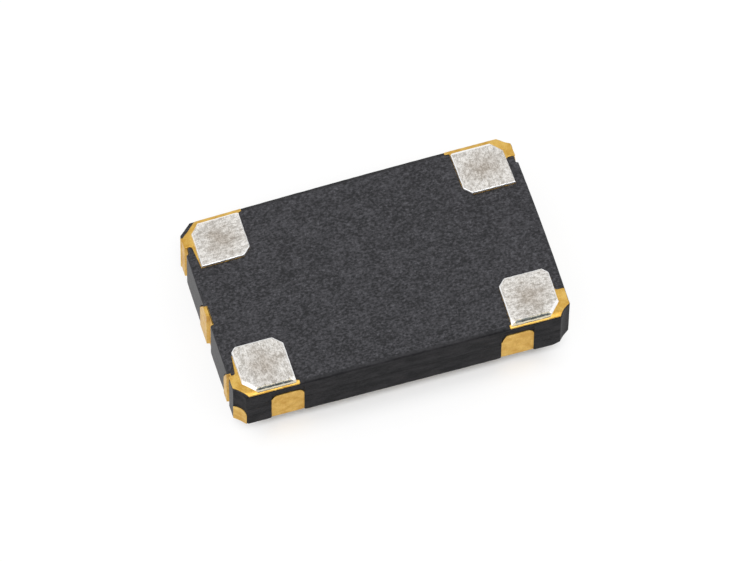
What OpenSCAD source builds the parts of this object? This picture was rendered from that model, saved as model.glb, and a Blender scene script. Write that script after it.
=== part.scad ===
// Crystal oscillator in a surface-mount ceramic package.
// It rests on its lid at Z = 0, with its four terminals facing up. X runs along the long side.
// The origin is the middle of the lid's outer face.

/* [Ceramic body] */
// Length of the ceramic body, along X
body_l = 5.1; // [4.9:0.05:6.3]
// Width of the ceramic body, along Y
body_w = 3.1; // [2.9:0.05:4]
// Height of the ceramic body
body_h = 0.78; // [0.72:0.01:1.2]
// Width of the bevel along both long edges of the terminal face
bevel_w = 0.07; // [0.03:0.005:0.09]
// Drop of that bevel
bevel_d = 0.025; // [0.01:0.005:0.04]
// Radius of the round notch at each corner
notch_r = 0.38; // [0.25:0.01:0.5]
// Length that each corner notch takes from both of its sides
notch_leg = 0.175; // [0.12:0.005:0.24]

/* [Channels in the long sides] */
// Width of each channel
side_channel_w = 0.49; // [0.3:0.01:0.6]
// Distance from the end of the body to the near edge of a channel
side_channel_inset = 0.57; // [0.4:0.01:0.8]
// Ceramic left above each channel
side_channel_ledge = 0.06; // [0.03:0.01:0.12]
// Height of the gold in each channel
side_gold_h = 0.56; // [0.4:0.01:0.65]
// Radius of the upper corners of that gold
side_gold_r = 0.09; // [0.02:0.01:0.14]

/* [Channels in the short sides] */
// Width of the channel in the middle of each short side
end_channel_w = 0.52; // [0.3:0.01:0.6]
// Width of the channel beside each corner
tab_channel_w = 0.24; // [0.2:0.005:0.3]
// Distance from the long side to the near edge of the channel beside the corner
tab_channel_inset = 0.33; // [0.22:0.005:0.35]
// Radius of the upper corners of the gold in the middle channel
end_gold_r = 0.22; // [0.05:0.01:0.22]
// Width of the gold strip on the terminal face behind the middle channel
end_gold_rim = 0.02; // [0.01:0.005:0.04]

/* [All channels] */
// Depth of each channel
channel_depth = 0.032; // [0.02:0.001:0.05]
// Radius along the inner edges of each channel
channel_r = 0.02; // [0.014:0.001:0.02]
// Thickness of the gold plating in a channel or notch
plating_t = 0.012; // [0.008:0.001:0.013]
// Height of the gold in the earthed corner notch
notch_gold_h = 0.36; // [0.2:0.01:0.5]
// Radius of the upper corners of that gold
notch_gold_r = 0.08; // [0.03:0.01:0.08]

/* [Terminals] */
// Length of a terminal's solder coat, along X
pad_l = 0.77; // [0.6:0.01:1]
// Width of a terminal's solder coat, along Y
pad_w = 0.77; // [0.6:0.005:0.95]
// Thickness of the solder coat
pad_t = 0.035; // [0.02:0.005:0.06]
// Gap from a solder coat to the short side of the body
pad_end_gap = 0.153; // [0.1:0.001:0.25]
// Gap from a solder coat to the long side of the body
pad_side_gap = 0.04; // [0.04:0.001:0.1]
// Width of the rolled edge of the solder coat along the long side
pad_roll_w = 0.042; // [0.02:0.001:0.06]
// Leg of the solder coat's chamfer at the corner of the body
pad_outer_chamfer = 0.18; // [0.1:0.01:0.25]
// Leg of the solder coat's chamfer that faces the middle of the body
pad_inner_chamfer = 0.12; // [0.05:0.01:0.2]
// Thickness of the gold land under the solder coat
land_t = 0.015; // [0.01:0.001:0.03]
// Gold that shows around the solder coat
land_rim = 0.012; // [0.005:0.001:0.03]
// Length of the land past the solder coat along the long side, towards the middle of the body
land_tail = 0.05; // [0.02:0.005:0.1]
// Width of the land's tab at the short side, from the long side of the body
land_tab = 0.435; // [0.36:0.005:0.5]
// Gap from a land to the edges of the body
land_edge_gap = 0.012; // [0.005:0.001:0.02]

/* [Cavity] */
// Width of the ceramic wall around the cavity
wall_w = 0.58; // [0.5:0.01:0.7]
// Depth of the crystal's cavity, from the lid side to the shelf
shelf_depth = 0.32; // [0.28:0.01:0.38]
// Depth of the chip's cavity below the shelf
chip_cavity_depth = 0.24; // [0.22:0.01:0.28]
// Width of the shelf along both long sides
shelf_side_w = 0.22; // [0.18:0.01:0.26]
// Length of the shelf that carries the crystal
shelf_mount_l = 0.7; // [0.65:0.01:0.85]
// Length of the shelf at the crystal's free end
shelf_free_l = 0.25; // [0.15:0.01:0.35]
// Radius of the corners of both cavities
cavity_r = 0.08; // [0.04:0.01:0.12]

/* [Lid and seal frame] */
// Gap from the seal frame to the sides of the body
seal_inset = 0.2; // [0.15:0.01:0.25]
// Width of the seal frame's section
seal_w = 0.36; // [0.25:0.01:0.4]
// Height of the seal frame
seal_h = 0.08; // [0.05:0.01:0.2]
// Radius of the seal frame's outer corners
seal_r = 0.3; // [0.2:0.01:0.4]
// Thickness of the braze between the seal frame and the body
braze_t = 0.02; // [0.01:0.005:0.04]
// Thickness of the lid
lid_t = 0.08; // [0.06:0.01:0.12]
// Gap from the edge of the lid to the edge of the seal frame
lid_margin = 0.03; // [0.02:0.01:0.08]

/* [Oscillator chip] */
// Length of the chip
chip_l = 1.5; // [1.1:0.05:1.9]
// Width of the chip
chip_w = 1.1; // [0.8:0.05:1.35]
// Thickness of the chip
chip_t = 0.15; // [0.1:0.01:0.18]
// Thickness of the adhesive under the chip
adhesive_t = 0.02; // [0.01:0.005:0.03]
// How far the adhesive spreads past the edges of the chip
adhesive_spread = 0.03; // [0.01:0.005:0.05]
// Number of bond wires on each long side of the chip
wires_per_side = 4; // [2:1:4]
// Distance between the bond wires at the chip
wire_pitch = 0.36; // [0.2:0.01:0.4]
// Distance between the gold fingers on the shelf
finger_pitch = 0.46; // [0.3:0.01:0.5]
// Distance from the edge of the chip to the wires
wire_edge = 0.1; // [0.05:0.01:0.2]
// Radius of a bond wire
wire_r = 0.0125; // [0.0125:0.0025:0.02]
// Height of the bond wires' loops
wire_loop = 0.045; // [0.04:0.005:0.05]
// Width of a gold finger
finger_w = 0.16; // [0.1:0.01:0.2]
// Thickness of the gold printed inside the package
print_t = 0.012; // [0.008:0.001:0.02]
// Gap from the printed gold to the edges of the shelf
print_gap = 0.03; // [0.01:0.005:0.05]
// Radius of the vias from the lands to the shelf
via_r = 0.06; // [0.04:0.005:0.08]
// Gap from a via to the inner edge of its land
via_gap = 0.06; // [0.03:0.01:0.1]

/* [Quartz crystal] */
// Length of the quartz blank
blank_l = 3; // [2.4:0.05:3.6]
// Width of the quartz blank
blank_w = 1.3; // [1:0.05:1.6]
// Thickness of the quartz blank
blank_t = 0.06; // [0.04:0.005:0.08]
// Gap from the fixed end of the blank to the wall of the cavity
blank_gap = 0.15; // [0.1:0.01:0.25]
// Length of the electrodes
electrode_l = 1.6; // [1:0.05:2]
// Width of the electrodes
electrode_w = 0.9; // [0.6:0.05:1]
// Thickness of the electrodes
electrode_t = 0.005; // [0.004:0.001:0.01]
// Length and width of each mounting pad
mount_pad = 0.36; // [0.3:0.01:0.45]
// Distance from the middle of the package to the middle of a mounting pad
mount_pad_y = 0.42; // [0.35:0.01:0.5]
// Radius of each dot of conductive glue
glue_r = 0.13; // [0.08:0.01:0.15]
// Height of the dots of glue
glue_h = 0.05; // [0.05:0.005:0.07]

/* [Hidden] */
$fn = 48;
eps = 0.05;  // how far a cut reaches past the surface that it opens

body_z = lid_t + seal_h + braze_t;
face_z = body_z + body_h;
shelf_z = body_z + shelf_depth;
floor_z = shelf_z + chip_cavity_depth;
chip_z = floor_z - adhesive_t - chip_t;
print_z = shelf_z - print_t;
half_l = body_l / 2;
half_w = body_w / 2;

pad_x1 = half_l - pad_end_gap;
pad_x0 = pad_x1 - pad_l;
pad_y1 = half_w - pad_side_gap;
pad_y0 = pad_y1 - pad_w;
bevel_y = half_w - bevel_w;
side_channel_x = half_l - side_channel_inset - side_channel_w / 2;
tab_channel_y0 = half_w - tab_channel_inset - tab_channel_w;
tab_channel_y = tab_channel_y0 + tab_channel_w / 2;
tab_gold_r = half_w - land_tab - tab_channel_y0;
notch_out = (sqrt(2 * notch_r * notch_r - notch_leg * notch_leg) - notch_leg) / 2;

cavity_l = body_l - 2 * wall_w;
cavity_w = body_w - 2 * wall_w;
chip_cavity_l = cavity_l - shelf_mount_l - shelf_free_l;
chip_cavity_w = cavity_w - 2 * shelf_side_w;
chip_x = (shelf_mount_l - shelf_free_l) / 2;
last_wire = (wires_per_side - 1) / 2;
finger_y = (cavity_w - shelf_side_w) / 2;
finger_l = shelf_side_w - 2 * print_gap;
via_x = pad_x0 + via_gap + via_r;
via_y = pad_y0 + via_gap + via_r;

blank_x0 = blank_gap - cavity_l / 2;
glue_x = blank_x0 + mount_pad / 2;
blank_z1 = print_z - glue_h - electrode_t;
blank_z0 = blank_z1 - blank_t;
electrode_x0 = blank_x0 + (blank_l - electrode_l) / 2;

// ---- shapes that several pieces share ----

// A rectangle with round corners, centred
module round_rect(l, w, r) {
    square([l, w - 2 * r], center = true);
    square([l - 2 * r, w], center = true);
    for (x = [-1, 1], y = [-1, 1])
        translate([x * (l / 2 - r), y * (w / 2 - r)]) circle(r);
}

// What a rounding of radius r takes off a sharp corner at the origin that has its shape to the lower right
module corner_waste(r) {
    difference() {
        translate([-eps, -r]) square(r + eps);
        translate([r, -r]) circle(r);
    }
}

// A plate that stands on the X axis, with its upper corners rounded by ra on the left and rb on the right
module arch_outline(w, h, ra, rb) {
    difference() {
        translate([-w / 2, 0]) square([w, h]);
        if (ra > 0) translate([-w / 2, h]) corner_waste(ra);
        if (rb > 0) translate([w / 2, h]) mirror([1, 0]) corner_waste(rb);
    }
}

// An arch that stands upright in the side along +Y, and covers the depth of a channel there
module arch_cutter(w, h, ra, rb) {
    translate([0, eps, body_z]) rotate([90, 0, 0])
        linear_extrude(channel_depth + 2 * eps) arch_outline(w, h, ra, rb);
}

// Plan of a channel cut into the side along +Y, whose face lies on the X axis
module channel_outline(w, depth, r) {
    translate([r - w / 2, -depth]) square([w - 2 * r, depth + eps]);
    translate([-w / 2, r - depth]) square([w, depth - r + eps]);
    for (x = [-1, 1])
        translate([x * (w / 2 - r), r - depth]) circle(r);
}

// Plan of the gold on the floor and walls of a channel
module channel_gold_outline(w) {
    difference() {
        channel_outline(w, channel_depth, channel_r);
        channel_outline(w - 2 * plating_t, channel_depth - plating_t, channel_r - plating_t);
        translate([-w, 0]) square([2 * w, 2 * eps]);
    }
}

// Carries a shape drawn for the side along +Y to the right side, with its +X towards +Y
module on_right_side(y) {
    translate([half_l, y, 0]) mirror([1, 0, 0]) rotate(90) children();
}

// Carries a shape drawn for the back right quarter to the quarter with these signs
module quarter(x, y) {
    mirror([x < 0 ? 1 : 0, 0, 0]) mirror([0, y < 0 ? 1 : 0, 0]) children();
}

// Extrudes a YZ outline along the whole body
module along_body() {
    translate([-half_l, 0, 0]) rotate([90, 0, 90]) linear_extrude(body_l) children();
}

// Height of the terminal face at the distance y from the middle
function face_at(y) = face_z - max(0, y - bevel_y) * bevel_d / bevel_w;

// The round notch at the back right corner, made larger by grow
module corner_notch(grow) {
    translate([half_l + notch_out, half_w + notch_out, body_z - eps])
        cylinder(r = notch_r + grow, h = body_h + 4 * eps);
}

// ---- ceramic body ----

module body_block() {
    along_body() polygon([
        [-half_w, body_z], [half_w, body_z], [half_w, face_at(half_w)],
        [bevel_y, face_z], [-bevel_y, face_z], [-half_w, face_at(half_w)]
    ]);
}

// The channel in the back side, near its right end
module side_channel() {
    translate([side_channel_x, half_w, body_z - eps])
        linear_extrude(body_h - side_channel_ledge + eps)
            channel_outline(side_channel_w, channel_depth, channel_r);
}

// A channel of width w at y in the right side
module end_channel(w, y) {
    on_right_side(y) translate([0, 0, body_z - eps])
        linear_extrude(body_h + 2 * eps) channel_outline(w, channel_depth, channel_r);
}

module cavities() {
    translate([0, 0, body_z - eps])
        linear_extrude(shelf_depth + eps) round_rect(cavity_l, cavity_w, cavity_r);
    translate([chip_x, 0, shelf_z - eps])
        linear_extrude(chip_cavity_depth + eps) round_rect(chip_cavity_l, chip_cavity_w, cavity_r);
}

module ceramic_body() {
    color([0.13, 0.13, 0.14]) difference() {
        body_block();
        cavities();
        for (x = [-1, 1]) {
            quarter(x, 1) end_channel(end_channel_w, 0);
            for (y = [-1, 1]) quarter(x, y) {
                corner_notch(0);
                side_channel();
                end_channel(tab_channel_w, tab_channel_y);
                via();
                terminal_trace(x);
            }
        }
    }
}

// ---- lid, seal frame and braze ----

module frame_outline() {
    inner = seal_inset + seal_w;
    difference() {
        round_rect(body_l - 2 * seal_inset, body_w - 2 * seal_inset, seal_r);
        round_rect(body_l - 2 * inner, body_w - 2 * inner, cavity_r);
    }
}

module lid() {
    inset = seal_inset + lid_margin;
    color([0.72, 0.70, 0.66]) linear_extrude(lid_t)
        round_rect(body_l - 2 * inset, body_w - 2 * inset, seal_r - lid_margin);
}

module seal_ring() {
    color([0.80, 0.72, 0.50]) translate([0, 0, lid_t]) linear_extrude(seal_h) frame_outline();
}

module ring_braze() {
    color([0.85, 0.82, 0.75]) translate([0, 0, lid_t + seal_h]) linear_extrude(braze_t) frame_outline();
}

// ---- terminals ----

// Plan of the back right land, before its corner notch is cut
module land_outline() {
    rim_x = pad_x0 - land_rim;
    rim_y = pad_y0 - land_rim;
    edge_y = half_w - land_edge_gap;
    tail_y = pad_y1 - land_edge_gap;
    difference() {
        union() {
            translate([rim_x, rim_y]) square([pad_l + 2 * land_rim, edge_y - rim_y]);
            translate([pad_x0 - land_tail, tail_y]) square([land_tail + land_rim, edge_y - tail_y]);
            translate([pad_x1, half_w - land_tab])
                square([pad_end_gap - land_edge_gap, land_tab - land_edge_gap]);
        }
        translate([rim_x, rim_y]) rotate(45) square(pad_inner_chamfer * sqrt(2), center = true);
    }
}

// The gold sheet of the back right land, which follows the bevel
module land_sheet() {
    difference() {
        intersection() {
            along_body() polygon([
                [0, face_z], [bevel_y, face_z], [half_w, face_at(half_w)],
                [half_w, face_at(half_w) + land_t], [bevel_y, face_z + land_t], [0, face_z + land_t]
            ]);
            translate([0, 0, face_z - bevel_d]) linear_extrude(bevel_d + 2 * land_t) land_outline();
        }
        corner_notch(land_edge_gap);
        end_channel(tab_channel_w, tab_channel_y);
    }
}

// The gold in the channel beside the back right corner, which rises to the land's tab
module tab_gold() {
    on_right_side(tab_channel_y) intersection() {
        translate([0, 0, body_z]) linear_extrude(body_h + land_t) channel_gold_outline(tab_channel_w);
        arch_cutter(tab_channel_w, body_h + land_t, tab_gold_r, 0);
    }
}

module land(x, y) {
    color([0.86, 0.66, 0.28]) quarter(x, y) {
        land_sheet();
        tab_gold();
    }
}

// Plan of the back right solder coat
module pad_outline() {
    a = pad_inner_chamfer;
    b = pad_outer_chamfer;
    polygon([
        [pad_x0 + a, pad_y0], [pad_x1, pad_y0], [pad_x1, pad_y1 - b],
        [pad_x1 - b, pad_y1], [pad_x0, pad_y1], [pad_x0, pad_y0 + a]
    ]);
}

// Section of the solder coat: it lies on the land and rolls down to it at the long side
module pad_section() {
    top = face_z + land_t + pad_t;
    intersection() {
        polygon([
            [0, face_z + land_t], [bevel_y, face_z + land_t], [half_w, face_at(half_w) + land_t],
            [half_w, top], [0, top]
        ]);
        polygon([
            [0, face_z - bevel_d], [pad_y1, face_z - bevel_d], [pad_y1, face_at(pad_y1) + land_t],
            [pad_y1 - pad_roll_w, top], [0, top]
        ]);
    }
}

module pad(x, y) {
    color([0.80, 0.80, 0.78]) quarter(x, y) intersection() {
        along_body() pad_section();
        translate([0, 0, face_z - bevel_d]) linear_extrude(bevel_d + land_t + 2 * pad_t) pad_outline();
    }
}

// ---- gold in the side channels and in the earthed notch ----

module side_gold(x, y) {
    color([0.86, 0.66, 0.28]) quarter(x, y) translate([side_channel_x, half_w, 0]) intersection() {
        translate([0, 0, body_z]) linear_extrude(side_gold_h) channel_gold_outline(side_channel_w);
        arch_cutter(side_channel_w, side_gold_h, side_gold_r, side_gold_r);
    }
}

// The gold in the middle channel of a short side, with the strip that it ends in on the terminal face
module end_gold(x) {
    strip_l = end_channel_w - 2 * end_gold_r;
    color([0.86, 0.66, 0.28]) quarter(x, 1) on_right_side(0) {
        intersection() {
            translate([0, 0, body_z]) linear_extrude(body_h + land_t) channel_gold_outline(end_channel_w);
            arch_cutter(end_channel_w, body_h + land_t, end_gold_r, end_gold_r);
        }
        translate([-strip_l / 2, -channel_depth - end_gold_rim, face_z])
            cube([strip_l, end_gold_rim + plating_t, land_t]);
    }
}

// The gold in the front left corner notch
module notch_gold() {
    color([0.86, 0.66, 0.28]) quarter(-1, -1) intersection() {
        difference() {
            corner_notch(0);
            corner_notch(-plating_t);
        }
        body_block();
        translate([half_l, half_w, body_z]) rotate([90, 0, -45]) linear_extrude(notch_r)
            arch_outline(notch_leg * sqrt(2), notch_gold_h, notch_gold_r, notch_gold_r);
    }
}

// ---- chip, its wires and the gold that they end on ----

// The via of the back right terminal, from the shelf to its land
module via() {
    translate([via_x, via_y, shelf_z]) cylinder(r = via_r, h = body_h - shelf_depth);
}

// The finger that feeds a terminal, with its trace along the shelf and under the wall to the via.
// It is drawn for the back right quarter, with x the sign of the end that it is for.
module terminal_trace(x) {
    x0 = last_wire * finger_pitch + x * chip_x - finger_w / 2;
    x1 = via_x + via_r;
    y0 = min(finger_y, via_y) - finger_l / 2;
    y1 = max(finger_y, via_y) + finger_l / 2;
    translate([x0, finger_y - finger_l / 2, print_z]) cube([x1 - x0, finger_l, print_t]);
    translate([via_x - via_r, y0, print_z]) cube([2 * via_r, y1 - y0, print_t]);
}

module bond_fingers() {
    color([0.86, 0.66, 0.28]) for (y = [-1, 1]) {
        for (x = [-1, 1]) quarter(x, y) terminal_trace(x);
        for (i = [1:1:wires_per_side - 2])
            translate([chip_x + (i - last_wire) * finger_pitch, y * finger_y, print_z + print_t / 2])
                cube([finger_w, finger_l, print_t], center = true);
    }
}

module terminal_vias() {
    color([0.62, 0.60, 0.58]) for (x = [-1, 1], y = [-1, 1])
        quarter(x, y) via();
}

module oscillator_chip() {
    color([0.30, 0.32, 0.36]) translate([chip_x - chip_l / 2, -chip_w / 2, chip_z])
        cube([chip_l, chip_w, chip_t]);
}

module chip_adhesive() {
    l = chip_l + 2 * adhesive_spread;
    w = chip_w + 2 * adhesive_spread;
    color([0.75, 0.74, 0.70]) translate([chip_x - l / 2, -w / 2, floor_z - adhesive_t])
        cube([l, w, adhesive_t]);
}

// One bond wire from a to b, as rings of points along a loop that leaves both ends at a right angle
wire_sides = 6;
wire_steps = 8;

function wire_ring(a, b, turn) =
    let (
        run = [b[0] - a[0], b[1] - a[1], 0],
        ahead = run / norm(run),
        across = cross(ahead, [0, 0, 1]),
        along = ahead * norm(run) / 2 * sin(turn) - [0, 0, wire_loop * cos(turn)],
        up = cross(across, along / norm(along)),
        middle = a + (b - a) * (1 - cos(turn)) / 2 - [0, 0, wire_loop * sin(turn)]
    )
    [for (k = [0:wire_sides - 1])
        middle + wire_r * (cos(360 * k / wire_sides) * across + sin(360 * k / wire_sides) * up)];

module bond_wire(a, b) {
    n = wire_sides;
    rings = [for (i = [0:wire_steps]) wire_ring(a, b, 180 * i / wire_steps)];
    polyhedron(
        points = [for (ring = rings) each ring],
        faces = concat(
            [[for (k = [0:n - 1]) k]],
            [[for (k = [n - 1:-1:0]) wire_steps * n + k]],
            [for (i = [0:wire_steps - 1], k = [0:n - 1]) [i * n + k, (i + 1) * n + k, i * n + (k + 1) % n]],
            [for (i = [0:wire_steps - 1], k = [0:n - 1])
                [i * n + (k + 1) % n, (i + 1) * n + k, (i + 1) * n + (k + 1) % n]]
        )
    );
}

module bond_wires() {
    color([0.90, 0.74, 0.35]) for (y = [-1, 1], i = [0:wires_per_side - 1])
        bond_wire(
            [chip_x + (i - last_wire) * wire_pitch, y * (chip_w / 2 - wire_edge), chip_z],
            [chip_x + (i - last_wire) * finger_pitch, y * finger_y, print_z]
        );
}

// ---- quartz crystal ----

module crystal_blank() {
    color([0.85, 0.88, 0.90]) translate([blank_x0, -blank_w / 2, blank_z0]) cube([blank_l, blank_w, blank_t]);
}

// A thin gold rectangle on the blank, from x0 to x1 and y0 to y1, with its lower face at z
module film(x0, x1, y0, y1, z) {
    translate([x0, y0, z]) cube([x1 - x0, y1 - y0, electrode_t]);
}

// An electrode with its lead to the glue at the side y, with its lower face at z
module electrode(y, z) {
    lead_y = y * mount_pad_y;
    film(electrode_x0, electrode_x0 + electrode_l, -electrode_w / 2, electrode_w / 2, z);
    film(blank_x0, electrode_x0, lead_y - mount_pad / 2, lead_y + mount_pad / 2, z);
    film(electrode_x0 - electrode_t, electrode_x0 + electrode_t, lead_y - mount_pad / 2,
        lead_y + mount_pad / 2, z);
}

module electrode_upper() {
    color([0.88, 0.72, 0.40]) electrode(1, blank_z1);
}

// The lower electrode folds around the end of the blank, up to its dot of glue
module electrode_lower() {
    y0 = -mount_pad_y - mount_pad / 2;
    color([0.88, 0.72, 0.40]) {
        electrode(-1, blank_z0 - electrode_t);
        translate([blank_x0 - electrode_t, y0, blank_z0 - electrode_t])
            cube([electrode_t, mount_pad, blank_t + 2 * electrode_t]);
        film(blank_x0 - electrode_t, blank_x0 + mount_pad, y0, y0 + mount_pad, blank_z1);
    }
}

module crystal_pads() {
    color([0.86, 0.66, 0.28]) for (y = [-1, 1])
        translate([glue_x, y * mount_pad_y, print_z + print_t / 2])
            cube([mount_pad, mount_pad, print_t], center = true);
}

module crystal_glue() {
    color([0.66, 0.66, 0.66]) for (y = [-1, 1])
        translate([glue_x, y * mount_pad_y, blank_z1 + electrode_t]) cylinder(r = glue_r, h = glue_h);
}

ceramic_body();
lid();
seal_ring();
ring_braze();
land(-1, -1);  // land_front_left
land(1, -1);  // land_front_right
land(-1, 1);  // land_back_left
land(1, 1);  // land_back_right
pad(-1, -1);  // pad_front_left
pad(1, -1);  // pad_front_right
pad(-1, 1);  // pad_back_left
pad(1, 1);  // pad_back_right
side_gold(-1, -1);  // side_gold_front_left
side_gold(1, -1);  // side_gold_front_right
side_gold(-1, 1);  // side_gold_back_left
side_gold(1, 1);  // side_gold_back_right
end_gold(-1);  // end_gold_left
end_gold(1);  // end_gold_right
notch_gold();
oscillator_chip();
chip_adhesive();
bond_fingers();
terminal_vias();
bond_wires();
crystal_blank();
electrode_upper();
electrode_lower();
crystal_pads();
crystal_glue();
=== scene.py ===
"""Looks of a ceramic surface-mount crystal oscillator that lies on its lid, with its terminals facing up.

Lengths in this script are millimetres, and become metres when a mesh is made.
"""

import math

import bpy
import numpy as np
from mathutils import Matrix, Vector, noise
from mathutils.geometry import delaunay_2d_cdt


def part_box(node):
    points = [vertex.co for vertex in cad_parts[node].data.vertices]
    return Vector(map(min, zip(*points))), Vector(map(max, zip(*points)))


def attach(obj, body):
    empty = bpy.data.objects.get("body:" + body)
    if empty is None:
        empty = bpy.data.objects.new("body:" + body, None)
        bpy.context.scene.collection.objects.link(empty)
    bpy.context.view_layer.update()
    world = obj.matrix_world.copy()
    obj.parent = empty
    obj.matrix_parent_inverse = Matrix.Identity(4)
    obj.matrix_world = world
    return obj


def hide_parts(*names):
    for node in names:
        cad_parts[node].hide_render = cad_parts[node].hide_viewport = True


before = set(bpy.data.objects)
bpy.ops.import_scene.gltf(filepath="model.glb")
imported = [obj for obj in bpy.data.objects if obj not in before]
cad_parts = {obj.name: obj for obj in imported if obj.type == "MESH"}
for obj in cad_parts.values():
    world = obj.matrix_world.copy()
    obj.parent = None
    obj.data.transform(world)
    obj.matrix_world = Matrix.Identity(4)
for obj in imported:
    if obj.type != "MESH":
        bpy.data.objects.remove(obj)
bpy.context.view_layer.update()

MM = 0.001
TINY = 0.0006  # points of an outline that lie nearer than this are one
ARC_STEP = math.radians(18)  # between the points of a round corner
SHARP = 38.0  # an edge that turns by more degrees isn't smooth
BODY = "root"


# ---- the frame, in millimetres ----

def box_mm(node):
    """Lowest and highest corner of a CAD node, in millimetres."""
    lo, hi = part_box(node)
    return np.array(lo) / MM, np.array(hi) / MM


BODY_LO, BODY_HI = box_mm("ceramic_body")
HALF_L, HALF_W = BODY_HI[0], BODY_HI[1]
Z_BOTTOM, Z_TOP = BODY_LO[2], BODY_HI[2]

SIDE_GOLD_LO, SIDE_GOLD_HI = box_mm("side_gold_back_right")
END_GOLD_LO, END_GOLD_HI = box_mm("end_gold_right")
NOTCH_LO, NOTCH_HI = box_mm("notch_gold")
PAD_LO, PAD_HI = box_mm("pad_back_right")
LID_LO, LID_HI = box_mm("lid")
SEAL_LO, SEAL_HI = box_mm("seal_ring")
BRAZE_LO, BRAZE_HI = box_mm("ring_braze")

# slopes along the long and the short sides of the terminal face: width and drop
BEVEL_W, BEVEL_D = 0.07, 0.025
END_BEVEL_W, END_BEVEL_D = 0.05, 0.007

# corner notches: legs along the first and the second side of a corner, going anticlockwise, and radii
NOTCH_LEG = NOTCH_HI[0] - NOTCH_LO[0]
NOTCH_LEGS = {
    "front_right": (NOTCH_LEG + 0.005, NOTCH_LEG - 0.010),
    "back_right": (NOTCH_LEG - 0.025, NOTCH_LEG + 0.010),
    "back_left": (NOTCH_LEG + 0.015, NOTCH_LEG),
    "front_left": (NOTCH_LEG - 0.010, NOTCH_LEG - 0.020),
}
NOTCH_R, NOTCH_RADII = 0.38, {"back_left": 0.9}
BLUNT, BLUNT_R = 0.03, 0.026

# channels: depth, the ledge above them, the ones beside a corner, and how far they lie from their regular
# places
CHANNEL_DEPTH, LEFT_DEPTH = 0.032, 0.046
LEDGE = 0.06
TAB_CHANNEL = (0.98, 1.22)
FRONT_SHIFTS = np.array([[-0.031], [-0.018]])
LEFT_SHIFTS = np.array([[0.09, 0.05], [0.03, 0.03], [0.05, 0.05]])
RIGHT_SHIFTS = np.array([[-0.06], [0.0], [0.10]])
LEFT_TURN = 270

# plating: thickness, length and height of the slanting corner on top of a short side's channels, radius of
# a left land at its notch, how the coats' outer corners slant, and the y up to which the left side's
# plating bars were snapped off, from back to front
PLATING, LAND_T, COAT_T = 0.012, 0.015, 0.035
TAB_CORNERS = {"front_left": (0.17, 0.31), "back_left": (0.07, 0.12), "front_right": (0.10, 0.20),
               "back_right": (0.10, 0.20)}
LEFT_CUT = (0.19, 0.29)
STRAIGHT_R = 1.6
OUTER_SLANT, SLANT_LENGTH = 0.93, 1.366
SNAPPED = (1.137, -0.07, -1.10)

# the crystal's cavity and the chip's cavity above it: half length and half width, place and top
CAVITY, SHELF_Z = (1.97, 0.97), Z_BOTTOM + 0.32
CHIP_CAVITY, CHIP_CAVITY_X = (1.495, 0.75), 0.225
CHIP_CAVITY_Z = SHELF_Z + 0.24
CAVITY_R = 0.08
LID_R, FRAME_R, FRAME_WALL = 0.27, 0.3, 0.36
SEAM_Z = 0.62  # of two layers, where it shows on the sides

# how far the fired body's sides lie outside their regular places: in the middle, by slope and by bulge
SETTLED = {"back": (0.0255, 0.042, -0.018), "front": (0.001, -0.011, -0.002),
           "left": (-0.002, 0.006, 0.008), "right": (0.012, 0.0033, -0.0247)}


def settle(x, y):
    """The place on the fired body of a regular place: its left end is narrower, and its sides bulge
    slightly."""
    u, v = x / HALF_L, y / HALF_W
    shifts = []
    for side, t in (("back", u), ("front", u), ("left", v), ("right", v)):
        middle, slope, bulge = SETTLED[side]
        shifts.append(middle + slope * t + bulge * t * t)
    back, front, left, right = shifts
    return (x + 0.5 * (left + right) + 0.5 * u * (right - left),
            y + 0.5 * (back + front) + 0.5 * v * (back - front))


def unsettle(x, y):
    """The place that settle carries here."""
    u, v = x, y
    for _ in range(3):
        a, b = settle(u, v)
        u, v = u + x - a, v + y - b
    return u, v


def ease(t):
    t = np.clip(t, 0.0, 1.0)
    return t * t * (3 - 2 * t)


def wobble(x, y, z=0.0, scale=1.0, seed=0.0):
    """Smooth noise from -1 to 1 at one place, with the scale in features per millimetre."""
    return noise.noise(Vector((x * scale + 17.3 * seed, y * scale - 5.1 * seed, z * scale + 3.7 * seed)))


def soft_ramp(t):
    """Zero below 0 and t above it, with a rounded corner."""
    r = 0.012
    return 0.5 * (t + np.sqrt(t * t + r * r)) - 0.5 * r * np.exp(-np.abs(t) / (2 * r))


def face_drop(x, y):
    """How far the terminal face lies below its middle at this place, on the bevels along its edges."""
    long_side = BEVEL_D / BEVEL_W * soft_ramp(abs(y) - (HALF_W - BEVEL_W))
    short_side = END_BEVEL_D / END_BEVEL_W * soft_ramp(abs(x) - (HALF_L - END_BEVEL_W))
    return float(long_side + short_side)


def face_z(x, y):
    return Z_TOP - face_drop(x, y)


# ---- outlines ----

def angle_from(centre, p):
    return math.atan2(p[1] - centre[1], p[0] - centre[0])


def arc_vertices(centre, r, start, end, count):
    """Vertices that cut an arc in this many equal pieces, without its ends."""
    angles = [start + (end - start) * k / count for k in range(1, count)]
    return [(centre[0] + r * math.cos(a), centre[1] + r * math.sin(a), 0) for a in angles]


def run_along(line):
    """Length of a polyline up to each of its points."""
    return np.concatenate([[0], np.cumsum(np.linalg.norm(np.diff(line, axis=0), axis=1))])


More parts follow.
